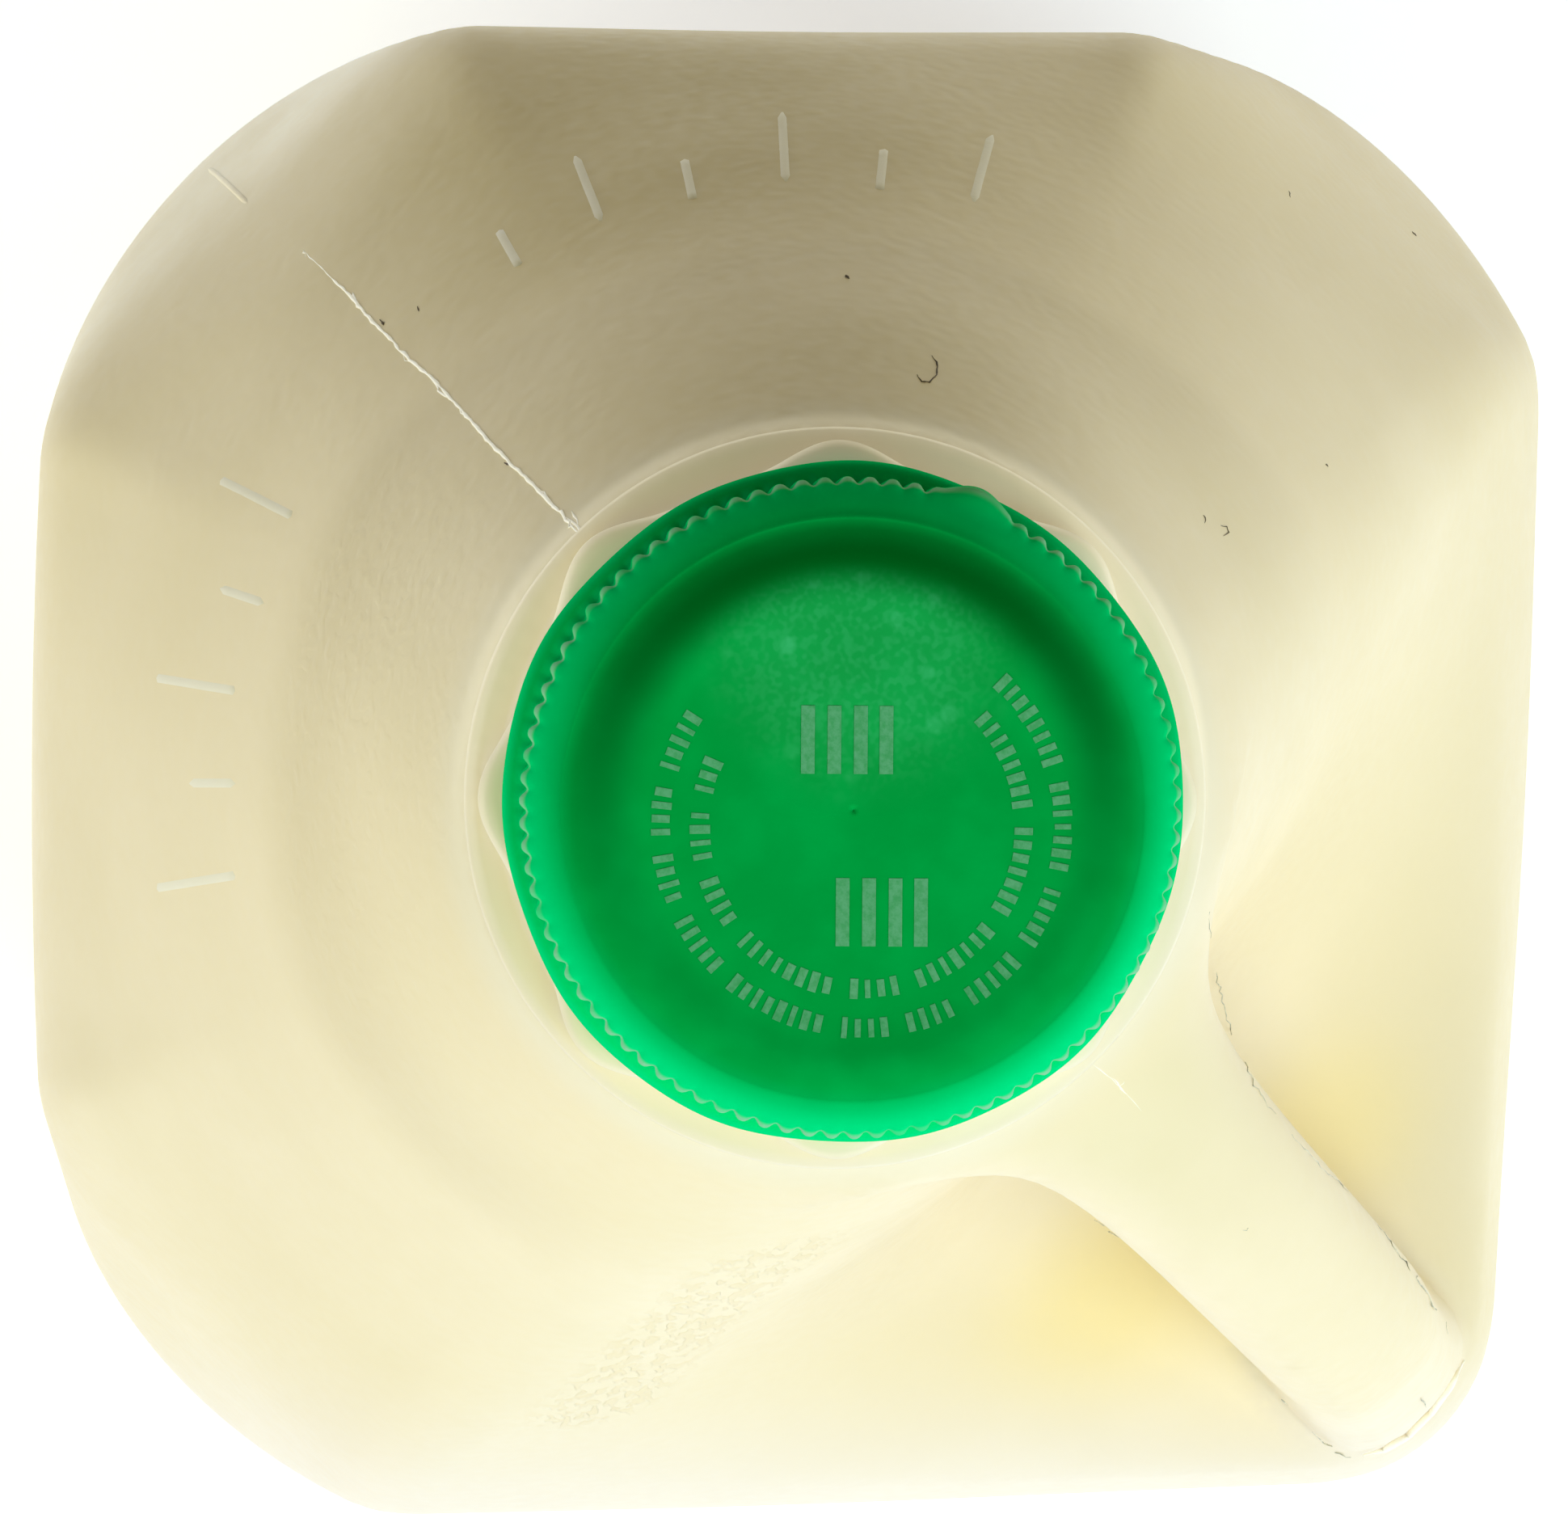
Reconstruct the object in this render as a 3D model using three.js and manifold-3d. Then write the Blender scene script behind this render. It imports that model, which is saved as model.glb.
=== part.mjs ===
// Half-gallon milk jug of thin translucent plastic, full of milk and closed by a knurled screw cap.
// Millimetres, +Z up. The jug stands on z = 0 and the handle is at its +X corner.
import * as THREE from 'three';
import { ParametricGeometry } from 'three/addons/geometries/ParametricGeometry.js';
import { mergeVertices } from 'three/addons/utils/BufferGeometryUtils.js';
import Module from 'manifold-3d';

const wasm = await Module();
wasm.setup();

// Driving dimensions
const WALL = 1.0; // thickness of the jug's skin
const GAP = 0.3; // clearance between pieces that touch
const NECK_X = -4.82; // the neck stands this far back from the middle of the footprint

// Square body, set with its corners on the X and Y axes
const FRONT_WALL = 59.5; // neck axis to either wall beside the handle
const BACK_WALL = 56.2; // neck axis to either wall away from it
const HANDLE_CORNER_R = 16.5;
const SIDE_CORNER_R = 25.0;
const BACK_CORNER_R = 28.5;
const WALL_BULGE = [1.1, 0.2, 1.9, 0.6]; // outward swell of each full wall, from azimuth 45 round

// Base
const BASE_R = 7.0; // rounded edge round the foot
const STAND_WIDTH = 5.0; // flat band that the jug stands on
const PUSH_UP = 3.0; // height of the hollow inside that band
const PUSH_UP_RUN = 4.0; // width of the slope up into the hollow

// Shoulder, round at the neck and eight-sided at its rim, with a steep facet under three corners
const SHOULDER_TOP_Z = 205.0;
const SHOULDER_TOP_R = 23.0;
const RIM_Z = 133.5;
const RIM_R = 58.5; // neck axis to the rim, about the least that it is
const SQUARING = 5; // the higher, the nearer to the rim the shoulder turns eight-sided
const SQUARING_END = 1.3; // the shoulder's face stops changing this far down, the rim being 1
const RIM_SWELL = 0.7; // share of a wall's swell that the rim follows
const RIM_SIDE_BLEND = 1.5; // roundness of the rim's own corners
const RIM_BLEND = 3.0; // roundness of the edge between walls and shoulder
const FACET_D = 58.9; // neck axis to a facet at the rim
const FACET_SLOPE = 3.28; // fall for each millimetre outward
const FACET_BLEND = 2.0;

// Recess round the handle: two slanted pocket faces and a scoop for the fingers
const POCKET_AZIMUTH = THREE.MathUtils.degToRad(40);
const POCKET_Z = 136.0;
const POCKET_D = 48.9; // neck axis to a pocket face at that height
const POCKET_SLOPE = 2.707;
const POCKET_BLEND = 3.0;
const SCOOP_FACE_D = 27.0; // neck axis to the upright part of the scoop
const SCOOP_BOTTOM_Z = 106.0;
const SCOOP_FALL = 13.0; // the scoop's floor sweeps out over about this height
const SCOOP_SPREAD = 62.0; // how far it sweeps
const SCOOP_BLEND = 14.0; // roundness of the edge between the scoop and the pocket faces

// Neck and its eight-lobed collar
const COLLAR_R = 21.75;
const COLLAR_LOBE = 1.1;
const COLLAR_Z = [205.8, 209.4];
const COLLAR_FILLET = 1.6; // between the collar's top and the neck
const NECK_R = 17.3;
const BORE_R = 15.7;
const MOUTH_Z = 227.0;

// Handle: a hollow tube in the XZ plane
const HANDLE_WIDTH = 13.3;
const HANDLE_DEPTH = 15.5;
const HANDLE_ROOT_X = 18.0; // where the root is as wide as the neck's side is deep
const HANDLE_ROOT_WIDTH = 32.0;
const HANDLE_ROOT_RUN = 4.6; // the fan narrows over about this length
const HANDLE_FOOT_FLARE = 5.0;
const HANDLE_FLARE_START = 0.72; // share of the handle's length above the flare
const HANDLE_PATH = [
  [9, 195.5], [18.5, 194.4], [29.7, 186.5], [39, 176], [48, 162.3], [54, 149], [58.4, 132], [64, 113], [66, 97],
];

const MILK_Z = 177.0;

// Cap
const CAP_TOP_Z = 230.8;
const CAP_BASE_Z = 211.1;
const CAP_WALL = 1.1;
const BAND_R = 20.75; // tamper band under the knurled skirt
const BAND_TOP_Z = 218.0;
const SKIRT_R = 19.1;
const TOOTH_DEPTH = 0.65;
const TEETH = 90;
const TEETH_TOP_Z = 227.3;
const RIM_CREST_R = 15.3; // top of the rounded shoulder
const SHOULDER_STEPS = 3;
const PANEL_R = 13.7;
const PANEL_DROP = 0.4;

const SLICES = 64;
const CORNER_CROWDING = 0.45; // above 0 sets the slices closer together at the corners
const HANDLE_SLICES = 16;
const HANDLE_STEPS = 24;
const HANDLE_SQUARENESS = 0.72; // below 1 makes the oval section squarer

const smoothMin = (a, b, blend) => {
  const h = Math.max(blend - Math.abs(a - b), 0) / blend;
  return Math.min(a, b) - (h * h * blend) / 4;
};

// Distance along a ray at angle delta from a plane's normal
const toPlane = (distance, delta) => (Math.cos(delta) > 0.05 ? distance / Math.cos(delta) : 1000);

const walls = [45, 135, 225, 315].map((azimuth, i) => ({
  azimuth: THREE.MathUtils.degToRad(azimuth),
  distance: i === 0 || i === 3 ? FRONT_WALL : BACK_WALL,
  bulge: WALL_BULGE[i],
  cornerRadius: [SIDE_CORNER_R, BACK_CORNER_R, SIDE_CORNER_R, HANDLE_CORNER_R][i],
}));

// Polar radius of the square body with rounded corners, pulled in by inset
function squareRadius(angle, inset) {
  const direction = new THREE.Vector2(Math.cos(angle), Math.sin(angle));
  let radius = Infinity;
  walls.forEach((wall) => {
    const delta = angle - wall.azimuth;
    const swell = Math.cos(delta) > Math.SQRT1_2 ? wall.bulge * Math.cos(2 * delta) ** 2 : 0;
    radius = Math.min(radius, toPlane(wall.distance + swell - inset, delta));
  });
  walls.forEach((wall, i) => {
    const next = walls[(i + 1) % 4];
    const corner = Math.max(wall.cornerRadius - inset, 1);
    const n1 = new THREE.Vector2(Math.cos(wall.azimuth), Math.sin(wall.azimuth));
    const n2 = new THREE.Vector2(Math.cos(next.azimuth), Math.sin(next.azimuth));
    const centre = n1.clone().multiplyScalar(wall.distance - inset - corner);
    centre.addScaledVector(n2, next.distance - inset - corner);
    const along = direction.dot(centre);
    const root = along * along - centre.lengthSq() + corner * corner;
    if (root <= 0) return;
    const reach = along + Math.sqrt(root);
    const hit = direction.clone().multiplyScalar(reach).sub(centre);
    if (reach > 0 && hit.dot(n1) > 0 && hit.dot(n2) > 0) radius = Math.min(radius, reach);
  });
  return radius;
}

// How far the scoop lets the body reach toward the handle at a height
function scoopReach(z) {
  const rise = Math.max(z - SCOOP_BOTTOM_Z, 0.5);
  return SCOOP_FACE_D + SCOOP_SPREAD * Math.exp(-rise / SCOOP_FALL);
}

// Polar radius of the shoulder's eight-sided rim
function rimRadius(angle) {
  const sides = walls.map((wall) => [wall.azimuth, wall.distance + RIM_SWELL * wall.bulge]);
  [0, 90, 180, 270].forEach((azimuth) => sides.push([THREE.MathUtils.degToRad(azimuth), FACET_D]));
  const reach = (radius, [azimuth, distance]) => smoothMin(radius, toPlane(distance, angle - azimuth), RIM_SIDE_BLEND);
  return sides.reduce(reach, 1000);
}

// Polar radius of the shoulder at a height
function shoulderRadius(angle, z) {
  const down = Math.max((SHOULDER_TOP_Z - z) / (SHOULDER_TOP_Z - RIM_Z), 0);
  const round = SHOULDER_TOP_R + (RIM_R - SHOULDER_TOP_R) * down;
  return round + (rimRadius(angle) - RIM_R) * Math.min(down, SQUARING_END) ** SQUARING;
}

// Polar radius of the body and shoulder at a height, pulled in by inset
function bodyRadius(angle, z, inset) {
  const onSlope = (slope) => inset * Math.hypot(1, 1 / slope);
  const shoulderSlope = (SHOULDER_TOP_Z - RIM_Z) / (RIM_R - SHOULDER_TOP_R);
  const shoulder = shoulderRadius(angle, z) - onSlope(shoulderSlope);
  let radius = smoothMin(squareRadius(angle, inset), shoulder, RIM_BLEND);
  [90, 180, 270].forEach((azimuth) => {
    const facet = FACET_D + (RIM_Z - z) / FACET_SLOPE - onSlope(FACET_SLOPE);
    radius = smoothMin(radius, toPlane(facet, angle - THREE.MathUtils.degToRad(azimuth)), FACET_BLEND);
  });
  [1, -1].forEach((side) => {
    const pocket = POCKET_D + (POCKET_Z - z) / POCKET_SLOPE - onSlope(POCKET_SLOPE);
    radius = smoothMin(radius, toPlane(pocket, angle - side * POCKET_AZIMUTH), POCKET_BLEND);
  });
  return smoothMin(radius, toPlane(scoopReach(z) - inset, angle), SCOOP_BLEND);
}

// Levels of a skin from the middle of the base to the top: each gives height and polar radius
function footLevels(inset) {
  const round = BASE_R - inset;
  const ring = (pull, z) => ({ z, radius: (angle) => squareRadius(angle, pull) });
  const hollow = BASE_R + STAND_WIDTH + inset;
  const levels = [
    { z: PUSH_UP + inset, radius: () => 0 },
    ring(hollow + PUSH_UP_RUN, PUSH_UP + inset),
    ring(hollow, inset),
  ];
  [0, 30, 60, 90].map(THREE.MathUtils.degToRad).forEach((turn) => {
    levels.push(ring(inset + round * (1 - Math.sin(turn)), inset + round * (1 - Math.cos(turn))));
  });
  return levels;
}

const sideHeights = [60, 98, 106, 113, 120, 126, 131, 136, 141, 147, 156, 166];

function sideLevels(heights, inset) {
  return heights.map((z) => ({ z, radius: (angle) => bodyRadius(angle, z, inset) }));
}

const collarRadius = (angle) => COLLAR_R + COLLAR_LOBE * Math.cos(8 * angle);

function outerLevels() {
  return [
    ...footLevels(0),
    ...sideLevels([...sideHeights, 178, 190, 203.4], 0),
    { z: SHOULDER_TOP_Z, radius: () => SHOULDER_TOP_R + 0.2 },
    { z: COLLAR_Z[0], radius: collarRadius },
    { z: COLLAR_Z[1], radius: collarRadius },
    { z: COLLAR_Z[1] + 0.6 * COLLAR_FILLET, radius: () => NECK_R + COLLAR_FILLET },
    { z: COLLAR_Z[1] + COLLAR_FILLET, radius: () => NECK_R },
    { z: MOUTH_Z, radius: () => NECK_R },
    { z: MOUTH_Z, radius: () => 0 },
  ];
}

function innerLevels() {
  const above = MOUTH_Z + 2; // the bore is cut right through the mouth
  const throat = () => COLLAR_R - COLLAR_LOBE - WALL;
  return [
    ...footLevels(WALL),
    ...sideLevels([...sideHeights, 178, 190, 202], WALL),
    { z: SHOULDER_TOP_Z - 0.6, radius: throat },
    { z: COLLAR_Z[1] - 0.8, radius: throat },
    { z: COLLAR_Z[1] + 0.4, radius: () => BORE_R },
    { z: above, radius: () => BORE_R },
    { z: above, radius: () => 0 },
  ];
}

function milkLevels() {
  const inset = WALL + GAP;
  return [
    ...footLevels(inset),
    ...sideLevels([...sideHeights, MILK_Z], inset),
    { z: MILK_Z, radius: () => 0 },
  ];
}

// Closed surface through levels, with a pole at the first and at the last
function skin(levels, slices = SLICES) {
  const last = levels.length - 1;
  const point = (turn, rise, target) => {
    const level = levels[Math.round(rise * last)];
    const even = (Math.round(turn * slices) % slices) * ((2 * Math.PI) / slices);
    const angle = even - (CORNER_CROWDING / 4) * Math.sin(4 * even);
    const radius = level.radius(angle);
    target.set(NECK_X + radius * Math.cos(angle), radius * Math.sin(angle), level.z);
  };
  return new ParametricGeometry(point, slices, last);
}

const handlePath = new THREE.CatmullRomCurve3(
  HANDLE_PATH.map(([x, z]) => new THREE.Vector3(NECK_X + x, 0, z)),
);

// Half width of the handle: it fans out where it grows from the neck, and a little at its foot
function handleHalfWidth(centre, along) {
  const fan = Math.exp(-Math.max(centre.x - NECK_X - HANDLE_ROOT_X, 0) / HANDLE_ROOT_RUN);
  const foot = Math.max((along - HANDLE_FLARE_START) / (1 - HANDLE_FLARE_START), 0) ** 2;
  return (HANDLE_WIDTH + (HANDLE_ROOT_WIDTH - HANDLE_WIDTH) * fan + HANDLE_FOOT_FLARE * foot) / 2;
}

// The handle's tube as a closed solid, pulled in by inset
function handleSkin(inset) {
  const power = (value) => Math.sign(value) * Math.abs(value) ** HANDLE_SQUARENESS;
  const point = (turn, rise, target) => {
    const step = Math.round(rise * (HANDLE_STEPS + 2));
    const along = THREE.MathUtils.clamp((step - 1) / HANDLE_STEPS, 0, 1);
    const centre = handlePath.getPointAt(along);
    const tangent = handlePath.getTangentAt(along);
    const outward = new THREE.Vector3(-tangent.z, 0, tangent.x);
    const angle = (Math.round(turn * HANDLE_SLICES) % HANDLE_SLICES) * ((2 * Math.PI) / HANDLE_SLICES);
    const open = step === 0 || step === HANDLE_STEPS + 2 ? 0 : 1;
    const across = open * (handleHalfWidth(centre, along) - inset) * power(Math.cos(angle));
    const deep = open * (HANDLE_DEPTH / 2 - inset) * power(Math.sin(angle));
    target.copy(centre).addScaledVector(outward, deep);
    target.y += across;
  };
  return new ParametricGeometry(point, HANDLE_SLICES, HANDLE_STEPS + 2);
}

// Closed mesh as a solid: shared vertices are merged, and slivers at the poles dropped
function toSolid(geometry) {
  const bare = geometry.clone();
  bare.deleteAttribute('normal');
  bare.deleteAttribute('uv');
  const merged = mergeVertices(bare, 1e-4);
  const source = merged.index.array;
  const triangles = [];
  for (let i = 0; i < source.length; i += 3) {
    const [a, b, c] = [source[i], source[i + 1], source[i + 2]];
    if (a !== b && b !== c && c !== a) triangles.push(a, b, c);
  }
  return new wasm.Manifold(new wasm.Mesh({
    numProp: 3,
    vertProperties: new Float32Array(merged.attributes.position.array),
    triVerts: new Uint32Array(triangles),
  }));
}

function toGeometry(solid) {
  const mesh = solid.getMesh();
  const geometry = new THREE.BufferGeometry();
  geometry.setAttribute('position', new THREE.BufferAttribute(mesh.vertProperties, 3));
  geometry.setIndex(new THREE.BufferAttribute(mesh.triVerts, 1));
  geometry.computeVertexNormals();
  return geometry;
}

function makeJug() {
  const outside = toSolid(skin(outerLevels())).add(toSolid(handleSkin(0)));
  const inside = toSolid(skin(innerLevels())).add(toSolid(handleSkin(WALL)));
  return outside.subtract(inside);
}

// Milk fills the body and the handle's lower leg up to one level
function makeMilk() {
  const span = 200;
  const below = new THREE.BoxGeometry(span, span, span);
  below.translate(0, 0, MILK_Z - span / 2);
  const inHandle = toSolid(handleSkin(WALL + GAP)).intersect(toSolid(below));
  return toSolid(skin(milkLevels())).add(inHandle);
}

// Cap: a turned shell with a round shoulder, a toothed skirt and a wider tamper band
function makeCap() {
  const inner = NECK_R + GAP;
  const ceiling = CAP_TOP_Z - PANEL_DROP - CAP_WALL;
  const shoulder = [];
  for (let i = 1; i < SHOULDER_STEPS; i += 1) {
    const angle = (i / SHOULDER_STEPS) * (Math.PI / 2);
    shoulder.push([
      RIM_CREST_R + (SKIRT_R - RIM_CREST_R) * Math.cos(angle),
      TEETH_TOP_Z + (CAP_TOP_Z - TEETH_TOP_Z) * Math.sin(angle),
    ]);
  }
  const profile = [
    [0, ceiling],
    [RIM_CREST_R, ceiling],
    [inner, TEETH_TOP_Z],
    [inner, CAP_BASE_Z],
    [BAND_R - 0.5, CAP_BASE_Z],
    [BAND_R, CAP_BASE_Z + 0.5],
    [BAND_R, BAND_TOP_Z - 0.5],
    [BAND_R - 0.5, BAND_TOP_Z],
    [SKIRT_R, BAND_TOP_Z + 0.4],
    [SKIRT_R, TEETH_TOP_Z],
    ...shoulder,
    [RIM_CREST_R, CAP_TOP_Z],
    [PANEL_R, CAP_TOP_Z - PANEL_DROP],
    [0, CAP_TOP_Z - PANEL_DROP],
  ];
  const points = profile.map(([r, z]) => new THREE.Vector2(r, z));
  const turned = new THREE.LatheGeometry(points, 48);
  turned.rotateX(Math.PI / 2);
  return toSolid(turned).add(toSolid(toothRing()));
}

// Ring of teeth round the skirt, its inner edge buried in the cap's wall
function toothRing() {
  const outline = new THREE.Shape();
  for (let i = 0; i < 2 * TEETH; i += 1) {
    const angle = (i * Math.PI) / TEETH;
    const radius = SKIRT_R - 0.1 + (i % 2) * (TOOTH_DEPTH + 0.1);
    const [x, y] = [radius * Math.cos(angle), radius * Math.sin(angle)];
    if (i === 0) outline.moveTo(x, y);
    else outline.lineTo(x, y);
  }
  outline.closePath();
  const hole = new THREE.Path();
  hole.absarc(0, 0, SKIRT_R - 0.7, 0, 2 * Math.PI, true);
  outline.holes.push(hole);
  const depth = TEETH_TOP_Z - BAND_TOP_Z + 0.4;
  const ring = new THREE.ExtrudeGeometry(outline, { depth, bevelEnabled: false, curveSegments: 24 });
  ring.translate(0, 0, BAND_TOP_Z - 0.4);
  return ring;
}

const plastic = new THREE.MeshStandardMaterial({
  color: 0xece3c6, roughness: 0.42, metalness: 0, transparent: true, opacity: 0.55,
});
const milkWhite = new THREE.MeshStandardMaterial({ color: 0xf7efd6, roughness: 0.35, metalness: 0 });
const capGreen = new THREE.MeshStandardMaterial({ color: 0x06a04a, roughness: 0.32, metalness: 0 });

const group = new THREE.Group();

function place(name, solid, material, x = 0) {
  const mesh = new THREE.Mesh(toGeometry(solid), material);
  mesh.name = name;
  mesh.position.x = x;
  group.add(mesh);
}

place('jug', makeJug(), plastic);
place('milk', makeMilk(), milkWhite);
place('cap', makeCap(), capGreen, NECK_X);

export default group;
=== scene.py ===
import math

import bpy
import numpy as np
from mathutils import Matrix, Vector


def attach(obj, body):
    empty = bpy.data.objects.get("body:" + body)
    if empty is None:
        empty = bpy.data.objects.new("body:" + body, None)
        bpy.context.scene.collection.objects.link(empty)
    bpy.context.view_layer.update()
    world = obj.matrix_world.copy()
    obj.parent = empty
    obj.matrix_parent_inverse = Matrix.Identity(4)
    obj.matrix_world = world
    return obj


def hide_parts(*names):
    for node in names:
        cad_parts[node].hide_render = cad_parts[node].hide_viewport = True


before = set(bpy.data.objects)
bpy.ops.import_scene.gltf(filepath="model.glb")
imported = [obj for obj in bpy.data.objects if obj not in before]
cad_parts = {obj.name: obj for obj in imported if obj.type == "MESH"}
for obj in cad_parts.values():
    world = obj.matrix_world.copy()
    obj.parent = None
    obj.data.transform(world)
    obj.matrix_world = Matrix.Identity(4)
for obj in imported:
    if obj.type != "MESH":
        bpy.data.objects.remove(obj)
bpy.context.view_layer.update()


MM = 0.001
NECK_X = -4.82  # the neck's axis, in mm

# Form of the jug, in mm from the neck's axis
WALL_AZIMUTHS = (45, 135, 225, 315)
WALL_DISTANCES = (59.5, 56.2, 56.2, 59.5)
WALL_BULGES = (1.1, 0.2, 1.9, 0.6)
CORNER_RADII = (25.0, 28.5, 25.0, 16.5)  # azimuth 90, 180, 270 and 0
BASE_R, STAND_WIDTH, PUSH_UP, PUSH_UP_RUN = 7.0, 5.0, 3.0, 4.0
SHOULDER_TOP_Z, SHOULDER_TOP_R = 205.0, 23.0
RIM_Z, RIM_R, RIM_BLEND, RIM_CORNER_BLEND = 133.5, 58.5, 3.0, 1.5
SHOULDER_STRETCH = 1.13  # length of the sloped shoulder for each mm that it falls
SQUARING = 5.0  # the round shoulder turns eight-sided only near its rim
FACET_D, FACET_SLOPE, FACET_BLEND = 59.1, 3.28, 3.2
POCKET_AZIMUTH, POCKET_Z, POCKET_D, POCKET_SLOPE, POCKET_BLEND = 40.0, 136.0, 48.9, 2.707, 3.5
SCOOP_FACE_D, SCOOP_BOTTOM_Z, SCOOP_FALL, SCOOP_SPREAD, SCOOP_BLEND = 27.0, 106.0, 13.0, 62.0, 14.0
HANDLE_WIDTH, HANDLE_DEPTH, HANDLE_POWER = 13.3, 15.5, 2.78
HANDLE_ROOT_X, HANDLE_ROOT_WIDTH, HANDLE_ROOT_RUN, HANDLE_FOOT_FLARE = 18.0, 32.0, 4.6, 5.0
HANDLE_FOOT_START = 0.72  # share of the path where the foot begins to flare
HANDLE_PATH = (
    (9, 195.5), (18.5, 194.4), (29.7, 186.5), (39, 176), (48, 162.3),
    (54, 149), (58.4, 132), (64, 113), (66, 97),
)
HANDLE_STATIONS = 160
JOIN_BLENDS = (1.2, 4.5)  # roundness of the handle's joints to the body, at its foot and root
JOIN_Z, JOIN_RISE = 125, 50
WALL = 1.0
MILK_Z, MILK_INSET = 177.0, 0.7
OUTER_CELL, INNER_CELL, MILK_CELL = 1.5, 2.4, 2.4


def smooth_max(a, b, blend):
    h = np.maximum(blend - np.abs(a - b), 0.0) / blend
    return np.maximum(a, b) + h * h * blend / 4.0


def smooth_min(a, b, blend):
    return -smooth_max(-a, -b, blend)


def toward(x, y, azimuth):
    a = math.radians(azimuth)
    return x * math.cos(a) + y * math.sin(a)


def square_field(x, y, inset=0.0):
    """Distance to the four swelling walls with their rounded corners."""
    angle = np.arctan2(y, x)
    walls = []
    for azimuth, distance, bulge in zip(WALL_AZIMUTHS, WALL_DISTANCES, WALL_BULGES):
        delta = angle - math.radians(azimuth)
        swell = np.where(np.cos(delta) > math.sqrt(0.5), bulge * np.cos(2 * delta) ** 2, 0.0)
        walls.append(toward(x, y, azimuth) - distance - swell + inset)
    result = np.full(np.shape(angle), -1e9)
    for i, radius in enumerate(CORNER_RADII):
        r = np.maximum(radius - inset, 1.0)
        a, b = walls[i] + r, walls[(i + 1) % 4] + r
        corner = np.where((a > 0) & (b > 0), np.hypot(a, b), np.maximum(a, b)) - r
        result = np.maximum(result, corner)
    return result


def rim_radius(angle):
    """Polar radius of the eight-sided rim that the shoulder runs out to."""
    sides = [(a, d + 0.7 * b) for a, d, b in zip(WALL_AZIMUTHS, WALL_DISTANCES, WALL_BULGES)]
    sides += [(a, FACET_D) for a in (0, 90, 180, 270)]
    reach = np.full(np.shape(angle), 1e6)
    for azimuth, distance in sides:
        facing = np.maximum(np.cos(angle - math.radians(azimuth)), 0.05)
        reach = smooth_min(reach, distance / facing, RIM_CORNER_BLEND)
    return reach


def raw_body_field(x, y, z):
    """The body without its handle, negative inside."""
    radius, angle = np.hypot(x, y), np.arctan2(y, x)
    low = np.clip(BASE_R - z, 0, BASE_R)
    field = square_field(x, y, BASE_R - np.sqrt(BASE_R**2 - low**2))
    down = np.maximum((SHOULDER_TOP_Z - z) / (SHOULDER_TOP_Z - RIM_Z), 0)
    reach = SHOULDER_TOP_R + (RIM_R - SHOULDER_TOP_R) * down
    reach = reach + (rim_radius(angle) - RIM_R) * np.minimum(down, 1.3) ** SQUARING
    field = smooth_max(field, (radius - reach) / SHOULDER_STRETCH, RIM_BLEND)
    for azimuth in (90, 180, 270):
        facet = toward(x, y, azimuth) - FACET_D - (RIM_Z - z) / FACET_SLOPE
        field = smooth_max(field, facet / math.hypot(1, 1 / FACET_SLOPE), FACET_BLEND)
    for side in (1, -1):
        pocket = toward(x, y, side * POCKET_AZIMUTH) - POCKET_D - (POCKET_Z - z) / POCKET_SLOPE
        field = smooth_max(field, pocket / math.hypot(1, 1 / POCKET_SLOPE), POCKET_BLEND)
    sweep = SCOOP_SPREAD * np.exp(-np.maximum(z - SCOOP_BOTTOM_Z, 0.5) / SCOOP_FALL)
    field = smooth_max(field, x - SCOOP_FACE_D - sweep, SCOOP_BLEND)
    t = np.clip((-square_field(x, y) - BASE_R - STAND_WIDTH) / PUSH_UP_RUN, 0, 1)
    field = np.maximum(field, PUSH_UP * t * t * (3 - 2 * t) - z)
    return smooth_max(field, z - SHOULDER_TOP_Z - 0.2, 1.0)


def body_field(x, y, z):
    """The body's field, no steeper than a distance."""
    h = 0.2
    f = raw_body_field(x, y, z)
    steps = ((h, 0, 0), (0, h, 0), (0, 0, h))
    rise = sum((raw_body_field(x + a, y + b, z + c) - f) ** 2 for a, b, c in steps)
    return f / np.maximum(np.sqrt(rise) / h, 1.0)


def handle_stations():
    """Even stations along a smooth curve through the handle's path, with its direction at each."""
    p = np.array(HANDLE_PATH, float)
    p = np.vstack([2 * p[0] - p[1], p, 2 * p[-1] - p[-2]])
    t = np.linspace(0, 1, 40, endpoint=False)[:, None]
    rows = []
    for i in range(1, len(p) - 2):
        a, b, c, d = p[i - 1 : i + 3]
        bend, twist = 2 * a - 5 * b + 4 * c - d, 3 * b - a - 3 * c + d
        rows.append(0.5 * (2 * b + (c - a) * t + bend * t**2 + twist * t**3))
    q = np.vstack(rows + [p[-2][None]])
    s = np.concatenate([[0], np.cumsum(np.hypot(*np.diff(q, axis=0).T))])
    u = np.linspace(0, s[-1], HANDLE_STATIONS)
    path = np.stack([np.interp(u, s, q[:, 0]), np.interp(u, s, q[:, 1])], 1)
    tangent = np.gradient(path, axis=0)
    return path, tangent / np.linalg.norm(tangent, axis=1)[:, None]


PATH, TANGENT = handle_stations()


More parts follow.
